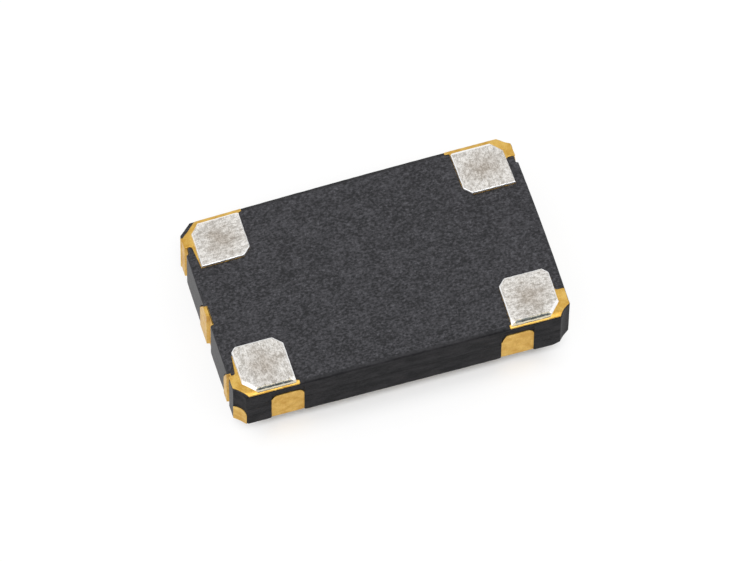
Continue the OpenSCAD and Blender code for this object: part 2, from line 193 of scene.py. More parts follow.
def fillet(vertices, step=0.05, closed=True):
    """A polyline with round corners from (x, y, radius) vertices, with no straight piece longer than step."""
    pts = [np.array(v[:2], float) for v in vertices]
    radii = [v[2] for v in vertices]
    n = len(pts)
    out = []
    for i in range(n):
        b, r = pts[i], radii[i]
        if not closed and i in (0, n - 1) or r <= 0:
            out.append(b)
            continue
        a, c = pts[i - 1], pts[(i + 1) % n]
        u, v = (a - b) / np.linalg.norm(a - b), (c - b) / np.linalg.norm(c - b)
        turn = math.pi - math.acos(np.clip(u @ v, -1, 1))
        cut = r * math.tan(turn / 2)
        centre = b + (u + v) / np.linalg.norm(u + v) * r / math.cos(turn / 2)
        p, q = b + u * cut, b + v * cut
        count = max(2, int(math.ceil(turn / ARC_STEP)))
        start = angle_from(centre, p)
        sweep = angle_from(centre, q) - start
        sweep = (sweep + math.pi) % (2 * math.pi) - math.pi
        for k in range(count + 1):
            t = start + sweep * k / count
            out.append(centre + r * np.array([math.cos(t), math.sin(t)]))
    out = [p for k, p in enumerate(out) if k == 0 or np.linalg.norm(p - out[k - 1]) > TINY]
    if closed and np.linalg.norm(out[0] - out[-1]) < TINY:
        out.pop()
    dense = []
    last = len(out) if closed else len(out) - 1
    for i in range(last):
        a, b = out[i], out[(i + 1) % len(out)]
        count = max(1, int(math.ceil(np.linalg.norm(b - a) / step)))
        dense += [a + (b - a) * k / count for k in range(count)]
    if not closed:
        dense.append(out[-1])
    return np.array(dense)


def normals_of(loop):
    """Outward normals of an anticlockwise closed polyline."""
    ahead, behind = np.roll(loop, -1, 0) - loop, loop - np.roll(loop, 1, 0)
    t = ahead / np.linalg.norm(ahead, axis=1)[:, None] + behind / np.linalg.norm(behind, axis=1)[:, None]
    t /= np.linalg.norm(t, axis=1)[:, None]
    return np.stack([t[:, 1], -t[:, 0]], 1)


def inside(points, loop):
    """Which points lie inside a closed polyline."""
    x, y = points[:, 0][:, None], points[:, 1][:, None]
    x0, y0 = loop[:, 0][None], loop[:, 1][None]
    x1, y1 = np.roll(loop[:, 0], -1)[None], np.roll(loop[:, 1], -1)[None]
    rising = (y0 > y) != (y1 > y)
    with np.errstate(divide="ignore", invalid="ignore"):
        cross = x < (x1 - x0) * (y - y0) / (y1 - y0) + x0
    return (rising & cross).sum(1) % 2 == 1


def distance_to(points, loop):
    """Distance from each point to a closed polyline."""
    a, b = loop, np.roll(loop, -1, 0)
    d = b - a
    best = np.full(len(points), 1e9)
    for i in range(0, len(points), 2000):
        p = points[i:i + 2000, None, :]
        t = np.clip(((p - a) * d).sum(2) / (d * d).sum(1), 0, 1)
        near = a + t[..., None] * d
        best[i:i + 2000] = np.sqrt(((p - near) ** 2).sum(2)).min(1)
    return best


# ---- meshes ----

class Mesh:
    """Points and faces of one piece, in millimetres."""

    def __init__(self):
        self.points, self.faces = [], []

    def add(self, points):
        start = len(self.points)
        self.points += [tuple(map(float, p)) for p in points]
        return list(range(start, start + len(points)))

    def bridge(self, low, high, closed=True):
        """Quads between two rows of indices, which face out where the rows run anticlockwise from above."""
        n = len(low)
        for i in range(n if closed else n - 1):
            j = (i + 1) % n
            self.faces.append((low[i], low[j], high[j], high[i]))

    def stack(self, loop, steps, outward=1):
        """Rows of indices along a loop, one for each (inset, z) of the steps."""
        normals = normals_of(loop) * outward
        return [self.add([(x, y, z) for x, y in loop - normals * inset]) for inset, z in steps]

    def loft(self, rows, closed=True, flip=False):
        for a, b in zip(rows, rows[1:]):
            self.bridge(*((b, a) if flip else (a, b)), closed)

    def plan(self, row):
        """The (x, y) places of a row of indices."""
        return np.array([self.points[i][:2] for i in row])

    def fill(self, loop, inner=(), up=True, holes=()):
        """Triangles over a loop of indices, less its holes, with extra (x, y, z) points inside it."""
        known = list(loop) + [i for h in holes for i in h]
        flat = [self.points[i][:2] for i in known] + [tuple(q[:2]) for q in inner]
        edges, start = [], 0
        for ring in [loop, *holes]:
            edges += [(start + k, start + (k + 1) % len(ring)) for k in range(len(ring))]
            start += len(ring)
        verts, _, faces, source, _, _ = delaunay_2d_cdt(
            [Vector(p) for p in flat], edges, [list(range(len(loop)))], 1, 1e-7)
        known += self.add(inner) if len(inner) else []
        index = [known[s[0]] for s in source]
        middles = np.array([np.mean([verts[k][:2] for k in f], 0) for f in faces])
        keep = np.ones(len(faces), bool)
        for h in holes:
            keep &= ~inside(middles, self.plan(h))
        for f, kept in zip(faces, keep):
            if kept:
                f = [index[k] for k in f]
                self.faces.append(tuple(f) if up else tuple(reversed(f)))

    def join(self, other):
        start = len(self.points)
        self.points += other.points
        self.faces += [tuple(i + start for i in f) for f in other.faces]

    def make_object(self, name, material):
        """An object in metres, smooth but for its sharp edges."""
        used = sorted({i for f in self.faces for i in f})
        place = {i: k for k, i in enumerate(used)}
        mesh = bpy.data.meshes.new(name)
        mesh.from_pydata([tuple(c * MM for c in self.points[i]) for i in used], [],
                         [tuple(place[i] for i in f) for f in self.faces])
        mesh.validate()
        mesh.materials.append(material)
        mesh.shade_smooth()
        mesh.set_sharp_from_angle(angle=math.radians(SHARP))
        obj = bpy.data.objects.new(name, mesh)
        bpy.context.scene.collection.objects.link(obj)
        return obj

    def piece(self, name, material, node, slot):
        obj = self.make_object(name, material)
        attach(obj, BODY)
        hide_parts(node)


def grid_points(loop, spacing, margin, seed=1):
    """Slightly scattered points that fill a loop, no nearer to it than margin."""
    jitter = 0.25
    rng = np.random.default_rng(seed)
    lo, hi = loop.min(0), loop.max(0)
    xs = np.arange(lo[0] + spacing / 2, hi[0], spacing)
    ys = np.arange(lo[1] + spacing / 2, hi[1], spacing)
    p = np.stack(np.meshgrid(xs, ys), -1).reshape(-1, 2)
    p = p + rng.uniform(-jitter, jitter, p.shape) * spacing
    p = p[inside(p, loop)]
    return p[distance_to(p, loop) > margin]


def ring_points(loop, depths, spacing):
    """Points along lines that run inside a loop at the given depths."""
    out = []
    normals = normals_of(loop)
    length = np.linalg.norm(np.roll(loop, -1, 0) - loop, axis=1)
    for d in depths:
        line = loop - normals * d
        keep, run = [], spacing
        for i in range(len(line)):
            if run >= max(spacing, d * 0.6):
                keep.append(i)
                run = 0.0
            run += length[i]
        p = line[keep]
        p = p[inside(p, loop)]
        out.append(p[distance_to(p, loop) > 0.93 * d])
    return np.vstack(out)


def arc_centre(a, b, r):
    """Centre of the circle through a and b that lies on the outer side of a corner of the body."""
    chord = b - a
    length = np.linalg.norm(chord)
    out = np.array([-chord[1], chord[0]]) / length
    return (a + b) / 2 + out * math.sqrt(r * r - length * length / 4)


# ---- the body's plan ----

class Plan:
    """The side outline of the body, anticlockwise from the front left notch, with and without the side
    channels."""

    def __init__(self):
        self.low, self.up, self.spans = [], [], {}
        side_x = (SIDE_GOLD_LO[0], SIDE_GOLD_HI[0])
        end_y = (END_GOLD_LO[1], END_GOLD_HI[1])
        long_channels = np.array([(-side_x[1], -side_x[0]), side_x])
        short_channels = np.array([(-TAB_CHANNEL[1], -TAB_CHANNEL[0]), end_y, TAB_CHANNEL])
        right_names = ("tab_front_right", "end_right", "tab_back_right")
        left_names = ("tab_back_left", "end_left", "tab_front_left")
        shut, wide = (None, 0.0), (0.0, 0.0)
        sides = [
            ("front_right", HALF_L, HALF_W, 0, CHANNEL_DEPTH, long_channels + FRONT_SHIFTS,
             ("front_left", "front_right"), (shut, shut)),
            ("back_right", HALF_W, HALF_L, 90, CHANNEL_DEPTH, short_channels + RIGHT_SHIFTS,
             right_names, (shut, shut, wide)),
            ("back_left", HALF_L, HALF_W, 180, CHANNEL_DEPTH, long_channels, ("back_right", "back_left"),
             (shut, shut)),
            ("front_left", HALF_W, HALF_L, LEFT_TURN, LEFT_DEPTH, short_channels - LEFT_SHIFTS, left_names,
             (wide, LEFT_CUT, TAB_CORNERS["front_left"])),
        ]
        before = NOTCH_LEGS["front_left"][1]
        for corner, half, out, turn, depth, channels, names, tops in sides:
            first, second = NOTCH_LEGS[corner]
            self._side(before - half, half - first, out, turn, depth, channels, names, tops)
            self._corner(half, first, second, out, turn, corner)
            before = second
        i0, i1 = self.spans["tab_back_left"]
        self.spans["tab_back_left"] = (i0 - 5, i1)  # its gold starts a little before the channel
        self.low, self.up = np.array(self.low), np.array(self.up)
        self.normals = normals_of(self.low)
        self.up_normals = normals_of(self.up)

    def _place(self, t, depth, out, turn):
        a = math.radians(turn)
        x, y = t, -(out - depth)
        return (x * math.cos(a) - y * math.sin(a), x * math.sin(a) + y * math.cos(a))

    def _side(self, start, end, out, turn, depth, channels, names, tops):
        """One side. A channel's top is (how far its cut corner reaches, how deep that goes), or shut all
        along."""
        round_out, round_in, spread, crease = 0.012, 0.017, 0.03, 0.006
        verts = [(start + BLUNT, 0, 0)]
        for (a, b), (cut, _) in zip(channels, tops):
            verts += [(max(a - spread, start + BLUNT + crease), 0, 0), (a, 0, round_out),
                      (a, depth, round_in), (a + spread, depth, 0)]
            breaks = []
            if turn == LEFT_TURN:
                breaks += [round(a + cut, 4)] if cut else []
                breaks += [-y for y in SNAPPED if a < -y < b and all(abs(-y - k) > 0.02 for k in breaks)]
            for k in sorted(breaks):
                verts += [(k - crease, depth, 0), (k + crease, depth, 0)]
            verts += [(b - spread, depth, 0), (b, depth, round_in), (b, 0, round_out), (b + spread, 0, 0)]
        verts.append((end - BLUNT, 0, 0))
        line = fillet(verts, step=0.045, closed=False)
        run = run_along(line)
        upper = line.copy()
        for (a, b), (cut, _) in zip(channels, tops):
            for lo, closed in ((a - spread, cut is None or cut > 0), (b - spread, cut is None)):
                if closed:
                    k = [i for i, (t, _) in enumerate(line) if lo - 1e-6 <= t <= lo + 2 * spread + 1e-6]
                    share = (run[k] - run[k[0]]) / (run[k[-1]] - run[k[0]])
                    upper[k, 0] = line[k[0], 0] + (line[k[-1], 0] - line[k[0], 0]) * share
            reach = b + spread if cut is None else a + cut
            if reach > a:
                upper[(line[:, 0] > a - spread) & (line[:, 0] < reach), 1] = 0
        first = len(self.low)
        for (a, b), name in zip(channels, names):
            k = [i for i, (t, d) in enumerate(line) if a - 1e-6 <= t <= b + 1e-6 and d > crease]
            self.spans[name] = (first + k[0], first + k[-1])
        self.low += [self._place(t, d, out, turn) for t, d in line]
        self.up += [self._place(t, d, out, turn) for t, d in upper]

    def _corner(self, half, leg, next_leg, out, turn, name):
        """The notch at the end of a side, with its two blunt edges."""
        first, last = np.array([half - leg, 0]), np.array([half, -next_leg])
        r = NOTCH_RADII.get(name, NOTCH_R)
        centre = arc_centre(first, last, r)
        a0, a1 = angle_from(centre, first), angle_from(centre, last)
        a1 += 2 * math.pi if a1 < a0 - math.pi else 0
        a1 -= 2 * math.pi if a1 > a0 + math.pi else 0
        verts = [(half - leg - BLUNT, 0, 0), (half - leg, 0, BLUNT_R), *arc_vertices(centre, r, a0, a1, 8),
                 (half, -next_leg, BLUNT_R), (half, -next_leg - BLUNT, 0)]
        line = fillet([(x, -y, r) for x, y, r in verts], step=0.03, closed=False)[1:-1]
        start = len(self.low)
        self.spans["notch_" + name] = (start + 2, start + len(line) - 3)
        placed = [self._place(t, d, out, turn) for t, d in line]
        self.low += placed
        self.up += placed


PLAN = Plan()


def arch_drop(u, width, r_a, r_b):
    """How far the top of an arch lies below its middle at the distance u from its first side."""
    drop = 0.0
    if u < r_a:
        drop = r_a - math.sqrt(max(0.0, r_a ** 2 - (r_a - u) ** 2))
    if width - u < r_b:
        drop = max(drop, r_b - math.sqrt(max(0.0, r_b ** 2 - (r_b - width + u) ** 2)))
    return drop


def cut_corner(u, length, height):
    """How far a slanting, slightly round corner of this length and height lies below its top at the
    distance u."""
    t = min(max(1 - u / length, 0.0), 1.0)
    return height * t ** 1.25


# ---- ceramic body ----

def worn_corners():
    """How far the lower edge of the body rises where it turns into a channel or a notch."""
    run = run_along(PLAN.low)
    lift = np.zeros(len(run))
    for name, span in PLAN.spans.items():
        for i in span:
            deep, wide = 0.02, 0.03
            if name == "notch_front_right" and i == span[0]:
                deep, wide = 0.045, 0.06
            elif PLAN.low[i, 0] < -HALF_L + 0.1:
                deep = 0.008
            lift = np.maximum(lift, deep * np.exp(-((run - run[i]) / wide) ** 2))
    return lift


WORN = worn_corners()


def ledge_heights():
    """Height at which the channels end below the terminal face, for each point of the plan."""
    heights = np.full(len(PLAN.low), Z_TOP - LEDGE)
    cuts = {"end_left": LEFT_CUT, "tab_front_left": TAB_CORNERS["front_left"]}
    for name in ("front_left", "front_right", "back_left", "back_right", "end_right", "tab_front_right",
                 *cuts):
        i0, i1 = PLAN.spans[name]
        a, b = PLAN.low[i0], PLAN.low[i1]
        width = np.linalg.norm(b - a)
        for i in range(i0 - 4, i1 + 5):
            along = min(max((PLAN.low[i] - a) @ (b - a) / width, 0.0), width)
            if name in cuts:
                heights[i] = min(Z_TOP + LAND_T + 0.008 - cut_corner(along, *cuts[name]), Z_TOP - 0.04)
            elif name == "tab_front_right":
                heights[i] = Z_TOP - 0.05
            else:
                heights[i] -= arch_drop(along, width, 0.06, 0.06)
    return heights


def ceramic():
    m = Mesh()
    ledge_z = ledge_heights()
    rim_z = np.array([face_z(x, y) for x, y in PLAN.up])

    def row(z, share, inset):
        """One row of points: share is 1 inside the channels and 0 above them."""
        normal = share * PLAN.normals + (1 - share) * PLAN.up_normals
        pts = []
        for (x, y), out, h in zip(share * PLAN.low + (1 - share) * PLAN.up - normal * inset, normal, z):
            rough = 0.0022 * wobble(x, y, h, 9) + 0.0012 * wobble(x, y, h, 34, 1)
            pts.append((*settle(*((x, y) - out * (0.002 - rough))), h))
        return m.add(pts)

    foot, edge = Z_BOTTOM + WORN, 0.012
    rows = [row(foot, 1, 0.0055), row(foot + 0.003, 1, 0.002), row(foot + edge, 1, 0)]
    low = foot + edge
    rows += [row(low + (ledge_z - 0.03 - low) * k / 11, 1, 0) for k in range(1, 12)]
    for dz, share in ((-0.012, 1), (-0.005, 0.97), (-0.0015, 0.75), (0.0015, 0.25), (0.005, 0.03),
                      (0.012, 0)):
        rows.append(row(ledge_z + dz, share, 0))
    low = ledge_z + 0.012
    rows.append(row(low + (rim_z - edge - low) * 0.5, 0, 0))
    rows += [row(rim_z - drop, 0, inset) for drop, inset in ((edge, 0), (0.004, 0.0022), (0.0006, 0.0055))]
    m.loft(rows)

    def height(x, y):
        u, v = unsettle(x, y)
        rough = 0.0016 * wobble(x, y, 0, 2.2, 2) + 0.0011 * wobble(x, y, 0, 13, 3)
        return face_z(u, v) + rough * ease((HALF_W - abs(v)) / 0.02) - 0.0006

    rim = m.plan(rows[-1])
    inner = np.vstack([ring_points(rim, (0.012, 0.024, 0.04, 0.055, 0.07, 0.085, 0.105), 0.03),
                       grid_points(rim, 0.045, 0.13)])
    m.fill(rows[-1], [(x, y, height(x, y)) for x, y in inner])
    hollow(m, rows[0])
    return m


def hollow(m, foot):
    """The body's lower face inside the row foot, with the stepped cavity in it."""

    def cavity_loop(half_l, half_w, x0, z):
        return m.add([(x0 + x, y, z) for x, y in rect_loop(half_l, half_w, CAVITY_R, step=9)])

    mouth = cavity_loop(*CAVITY, 0, Z_BOTTOM)
    ring = ring_points(m.plan(foot), (0.05,), 0.05)
    m.fill(foot, [(x, y, Z_BOTTOM) for x, y in ring], up=False, holes=[mouth])
    shelf = cavity_loop(*CAVITY, 0, SHELF_Z)
    inner_mouth = cavity_loop(*CHIP_CAVITY, CHIP_CAVITY_X, SHELF_Z)
    roof = cavity_loop(*CHIP_CAVITY, CHIP_CAVITY_X, CHIP_CAVITY_Z)
    m.loft([mouth, shelf, inner_mouth, roof], flip=True)
    m.faces.append(tuple(reversed(roof)))


# ---- gold in the channels ----

def wall_sheet(span, z_high, thickness=PLATING, seed=0.0, level=None):
    """A thin sheet on the floor and walls of a channel or notch. z_high gives its top from the share of the
    way along it, and level its depth below the left side at a y, where it fills the channel."""
    k = np.arange(span[0], span[1] + 1)
    last = len(k) - 1
    foot = Z_BOTTOM + WORN[k] + 0.004
    xy, normals = PLAN.low[k], PLAN.normals[k]
    run = run_along(xy)
    m = Mesh()
    steps, sunk, edge, rough = 26, 0.004, 0.3 * thickness, 0.0012

    def point(c, s, offset, shrink):
        """The point in column c and row s of a grid at this offset from the wall, with its border drawn
        in."""
        x, y = xy[c]
        z = foot[c] + (z_high(run[c] / run[-1]) - shrink - foot[c]) * s / steps
        along = xy[min(c + 1, last)] - xy[max(c - 1, 0)]
        inward = shrink if c == 0 else -shrink if c == last else 0.0
        place = (x, y) + normals[c] * (offset + rough * wobble(x, y, z, 16, seed))
        x, y = place + along / np.linalg.norm(along) * inward
        if level and offset > 0:
            x = min(x, level(xy[c, 1]) - HALF_L + thickness - offset - rough * wobble(0, y, z, 16, seed))
        return (*settle(x, y), z)

    grids = []
    for offset, shrink in ((-sunk, 0.0), (thickness - edge, 0.0), (thickness, edge)):
        grids.append([m.add([point(c, s, offset, shrink) for c in range(last + 1)])
                      for s in range(steps + 1)])
    m.loft(grids[-1], closed=False)
    m.loft(grids[0], closed=False, flip=True)
    m.loft([[*g[0], *(r[-1] for r in g[1:-1]), *reversed(g[-1]), *(r[0] for r in reversed(g[1:-1]))]
            for g in grids])
    return m


def side_gold(name, seed):
    """The gold in a long side's channel, with round upper corners and a slightly ragged top."""
    width = SIDE_GOLD_HI[0] - SIDE_GOLD_LO[0] + 2 * CHANNEL_DEPTH
    slope = 0.09 if name.endswith("right") else 0.02

    def high(s):
        ragged = 0.006 * wobble(s * 6, seed, 0, 1, seed) + 0.004 * wobble(s * 16, seed, 0, 1, seed)
        slant = 0.006 * (s - 0.5) - cut_corner(s * width - CHANNEL_DEPTH, 0.05, slope)
        return SIDE_GOLD_HI[2] + 0.006 - arch_drop(s * width, width, 0.115, 0.125) + ragged + slant

    return wall_sheet(PLAN.spans[name], high, seed=seed)


def snapped(y_break, flush=-0.010):
    """Depth of the gold in a left channel: just proud where its plating bar was snapped off, up to y_break,
    and then the bare channel."""
    return lambda y: flush + (LEFT_DEPTH - PLATING - flush) * float(ease(0.5 + (y_break - y) / 0.012))


def end_gold(name, seed):
    """The gold in a short side's middle channel. The left one rises to the terminal face and ends in a
    strip there."""
    span = PLAN.spans[name]
    width = END_GOLD_HI[1] - END_GOLD_LO[1] + 2 * CHANNEL_DEPTH
    if name == "end_right":
        top = Z_TOP - LEDGE - 0.01
        return wall_sheet(span, lambda s: top - arch_drop(s * width, width, 0.06, 0.06), seed=seed)
    top = face_z(HALF_L, 0) + LAND_T
    width += 2 * (LEFT_DEPTH - CHANNEL_DEPTH)
    m = wall_sheet(span, lambda s: top - cut_corner(s * width - LEFT_DEPTH, *LEFT_CUT), seed=seed,
                   level=snapped(SNAPPED[1]))
    shift = LEFT_SHIFTS[1, 0]
    y0, y1 = END_GOLD_LO[1] + shift, END_GOLD_HI[1] + shift - LEFT_CUT[0]
    x0, x1 = -HALF_L + LEFT_DEPTH - 0.012, -HALF_L + LEFT_DEPTH + 0.006
    corners = [settle(x, y) for x, y in ((x0, y0), (x1, y0), (x1, y1), (x0, y1))]
    outline = fillet([(x, y, 0.006) for x, y in corners], step=0.04)
    rows = m.stack(outline, ((0.0, top - LAND_T - 0.004), (0.0, top - 0.004), (0.001, top - 0.0015),
                             (0.004, top)))
    m.loft(rows)
    m.fill(rows[-1])
    return m


def tab_gold(corner, seed, flip):
    """The gold in the channel beside a corner, which rises to the land's tab."""
    width = TAB_CHANNEL[1] - TAB_CHANNEL[0]
    top = face_z(HALF_L, TAB_CHANNEL[1]) + LAND_T * 0.7
    depth = LEFT_DEPTH if corner.endswith("left") else CHANNEL_DEPTH

    def high(s):
        u = (1 - s if flip else s) * (width + 2 * depth) - depth
        return top - cut_corner(u, *TAB_CORNERS[corner])

    level = {"back_left": snapped(SNAPPED[0], 0.003), "front_left": snapped(SNAPPED[2])}.get(corner)
    return wall_sheet(PLAN.spans["tab_" + corner], high, seed=seed, level=level)


def notch_gold():
    """The gold in the lower part of the front left notch."""
    i0, i1 = PLAN.spans["notch_front_left"]
    width = np.linalg.norm(PLAN.low[i1] - PLAN.low[i0])

    def high(s):
        return NOTCH_HI[2] - arch_drop(s * width, width, 0.02, 0.12) - 0.01 * (1 - s)

    return wall_sheet((i0, i1), high, thickness=0.006, seed=4.0)


# ---- terminals ----

def quarter_points(vertices, sx, sy):
    """Vertices drawn for the back right quarter, carried to the quarter with these signs and kept
    anticlockwise."""
    out = [(x * sx, y * sy, r) for x, y, r in vertices]
    return out if sx * sy > 0 else out[::-1]


def notch_legs(corner):
    """The notch's legs along the long and the short side."""
    first, second = NOTCH_LEGS[corner]
    return (first, second) if corner in ("front_right", "back_left") else (second, first)


def land_outline(corner, sx, sy, tail, notch_gap, tab_y, sliver, nick):
    """Plan of a land. It ends at notch_gap from the notch, and its tab at tab_y. The gold beside the solder
    is sliver wide at its two ends, nick cuts its inner corner, and tail is what shows past the solder along
    the long side."""
    x0, y0 = PAD_LO[0] - 0.003, PAD_LO[1] - 0.003
    x_tab, y_edge = HALF_L - 0.010, HALF_W - 0.010
    cut = 0.126
    leg_x, leg_y = notch_legs(corner)
    r = STRAIGHT_R if sx < 0 else NOTCH_R
    centre = arc_centre(np.array([HALF_L - leg_x, HALF_W]), np.array([HALF_L, HALF_W - leg_y]), r)
    r += notch_gap
    y_first = centre[1] - math.sqrt(r * r - (centre[0] - x_tab) ** 2)
    x_last = centre[0] - math.sqrt(r * r - (centre[1] - y_edge) ** 2)
    a0, a1 = (angle_from(centre, p) % (2 * math.pi) for p in ((x_tab, y_first), (x_last, y_edge)))
    verts = [(x0 + cut, y0, 0.03), (PAD_HI[0] + sliver[0] - nick, y0, 0.01)]
    if nick:
        verts += [(PAD_HI[0] + sliver[0], y0 + nick, 0.01)]
    verts += [(PAD_HI[0] + sliver[1], tab_y, 0.035), (x_tab, tab_y, 0.01), (x_tab, y_first, 0.012),
              *arc_vertices(centre, r, a0, a1, 6),
              (x_last, y_edge, 0.012), (x0 - tail, y_edge, 0.02), (x0 - tail, PAD_HI[1] - 0.022, 0.012),
              (x0, PAD_HI[1] - 0.03, 0.02), (x0, y0 + cut, 0.03)]
    return quarter_points(verts, sx, sy)


def land(corner, sx, sy, seed, **shape):
    m = Mesh()
    loop = fillet(land_outline(corner, sx, sy, **shape), step=0.03)
    normals = normals_of(loop)
    shift = np.array([0.0025 * wobble(x, y, 0, 14, seed) + 0.0015 * wobble(x, y, 0, 40, seed)
                      for x, y in loop])
    loop = loop + normals * shift[:, None]
    rows = []
    for inset, lift in ((0.0, -0.006), (0.0, 0.006), (0.0015, 0.0115), (0.005, LAND_T - 0.0008)):
        rows.append(m.add([(*settle(x, y), face_z(x, y) + lift) for x, y in loop - normals * inset]))
    m.loft(rows)

    def height(x, y):
        return face_z(*unsettle(x, y)) + LAND_T + 0.0010 * wobble(x, y, 0, 20, seed)

    rim = m.plan(rows[-1])
    inner = np.vstack([ring_points(rim, (0.006,), 0.02), grid_points(rim, 0.022, 0.012, seed=int(seed))])
    m.fill(rows[-1], [(x, y, height(x, y)) for x, y in inner])
    return m


class Pad:
    """A solder coat: flat on top, with facets along its outer edges. A front one is rolled down to a low
    foot.

    Its cuts are at its inner corner, at the outer one and at the one beside its tab. The facets are their
    widths along the short side, the outer corner and the long side. inner and outer widen the coat towards
    the middle of the body and towards its long side.
    """

    def __init__(self, sx, sy, seed, cuts, inner, outer, facets):
        self.sy, self.seed, self.facets = sy, seed, facets
        inner_cut, self.outer_cut, tab_cut = cuts
        x0, x1, y0, y1 = PAD_LO[0], PAD_HI[0], PAD_LO[1] - inner, PAD_HI[1] + outer
        self.x0, self.x1, self.y1 = x0, x1, y1
        inner_r, outer_r, r, nip = 0.03, 0.02, 0.012, 0.01 if sy < 0 else 0.03
        verts = [(x0 + inner_cut, y0, inner_r)]
        if tab_cut:
            verts += [(x1 - tab_cut, y0, inner_r), (x1, y0 + tab_cut, inner_r)]
        else:
            verts += [(x1, y0, r)]
        verts += [(x1, y1 - self.outer_cut, outer_r), (x1 - self.outer_cut * OUTER_SLANT, y1, outer_r),
                  (x0 + nip, y1, r), (x0, y1 - nip, r), (x0, y0 + inner_cut, inner_r)]
        self.loop = fillet(quarter_points(verts, sx, sy), step=0.02)
        rough = np.array([0.0022 * wobble(x, y, 0, 18, seed) + 0.0014 * wobble(x, y, 0, 55, seed)
                          for x, y in self.loop])
        self.loop = self.loop + normals_of(self.loop) * rough[:, None]

    def base(self, x, y):
        return face_z(x, y) + LAND_T

    def lift(self, x, y, rim):
        """Height of the coat above its land, at the distance rim from its edge."""
        seed = self.seed
        full = Z_TOP + LAND_T + COAT_T - self.base(x, y)
        # the inner rim is steep, with a rounded shoulder
        t = min(rim / 0.011, 1.0)
        h = full * (0.18 + 0.82 * math.sqrt(max(0.0, 1 - (1 - t) ** 2)))
        h = min(h, full * (0.64 + 0.36 * min(rim / (0.024 if self.sy < 0 else 0.015), 1.0)))
        # the facets along the outer edges
        side, chamfer, long_side = self.facets
        across, from_edge = self.x1 - abs(x), self.y1 - abs(y)
        slant = (across + OUTER_SLANT * (from_edge - self.outer_cut)) / SLANT_LENGTH
        uneven = 0.004 * wobble(x, y, 0, 7, seed)
        for distance, wide in ((across, side), (slant, chamfer), (from_edge, long_side)):
            if wide:
                h = min(h, full * (0.15 + 0.85 * max(distance, 0.0) / (wide + uneven)))
        if self.sy < 0:
            h = min(h, self.rolled(x, y, from_edge, full, uneven))
        ripple = 0.0016 * wobble(x, y, 0, 22, seed) + 0.0008 * wobble(x, y, 0, 60, seed + 1)
        return h + ripple * float(ease(rim / 0.03))

    def rolled(self, x, y, from_edge, full, uneven):
        """Height of a front coat: a thin ragged foot, a steep slope up from it, and a facet at the slope's
        end."""
        low, thin, slope, facet = 0.003, 0.008, 0.029, 0.058
        ragged = 0.007 * wobble(x, 3.0, 0, 24, self.seed) + 0.004 * wobble(x, 1.0, 0, 80, self.seed)
        foot = 0.029 + ragged
        up = min(max((from_edge - foot) / slope, 0.0), 1.0)
        rolled = low + (thin - low) * ease(from_edge / 0.012) + (full - thin) * up
        corner = (abs(x) - self.x0 + from_edge - foot - 0.030) / math.sqrt(2)
        return min(rolled, max(full * (0.25 + 0.75 * corner / (facet + uneven)), 2 * low))

    def build(self):
        m = Mesh()
        normals = normals_of(self.loop)

        def row(inset, share):
            pts = []
            for x, y in self.loop - normals * inset:
                lift = self.lift(x, y, inset) * share if share else -0.003
                pts.append((*settle(x, y), self.base(x, y) + lift))
            return m.add(pts)

        rows = [row(0.0, 0), row(0.0, 0.5), row(0.0006, 0.9), row(0.003, 1.0)]
        m.loft(rows)
        rim = m.plan(rows[-1])
        depths = (0.003, 0.007, 0.012, 0.018, *np.arange(0.025, 0.075, 0.006))
        inner = np.vstack([ring_points(rim, depths, 0.014),
                           grid_points(rim, 0.0125, 0.079, seed=int(self.seed) + 5)])
        pts = []
        for (x, y), rim_distance in zip(inner, distance_to(inner, rim) + 0.003):
            u, v = unsettle(x, y)
            pts.append((x, y, self.base(u, v) + self.lift(u, v, rim_distance)))
        m.fill(rows[-1], pts)
        return m


# ---- lid, seal frame and braze ----

def plate(outline, z0, z1, edge, inner=None, dish=0.0):
    """A flat plate or frame with round edges. A dish raises the middle of a plate's lower face."""
    m = Mesh()
    steps = ((edge, z0), (edge * 0.3, z0 + edge * 0.3), (0, z0 + edge), (0, z1 - edge),
             (edge * 0.3, z1 - edge * 0.3), (edge, z1))
    outer_rows = m.stack(outline, steps)
    m.loft(outer_rows)
    if inner is None:
        step, sunk = m.stack(outline, ((0.15, z0), (0.17, z0 + dish)))
        m.bridge(step, outer_rows[0])
        m.bridge(sunk, step)
        m.faces.append(tuple(reversed(sunk)))
        m.faces.append(tuple(outer_rows[-1]))
    else:
        inner_rows = m.stack(inner, steps, outward=-1)
        m.loft(inner_rows, flip=True)
        m.fill(outer_rows[0], up=False, holes=[inner_rows[0]])
        m.fill(outer_rows[-1], holes=[inner_rows[-1]])
    return m


def rect_loop(half_l, half_w, r, step=0.2):
    return fillet([(x * half_l, y * half_w, r) for x, y in ((-1, -1), (1, -1), (1, 1), (-1, 1))], step)


def seal_frame(lo, hi, edge):
    """A frame in this box, around the cavity."""
    opening = rect_loop(hi[0] - FRAME_WALL, hi[1] - FRAME_WALL, CAVITY_R)
    return plate(rect_loop(*hi[:2], FRAME_R), lo[2], hi[2], edge, opening)


# ---- materials ----

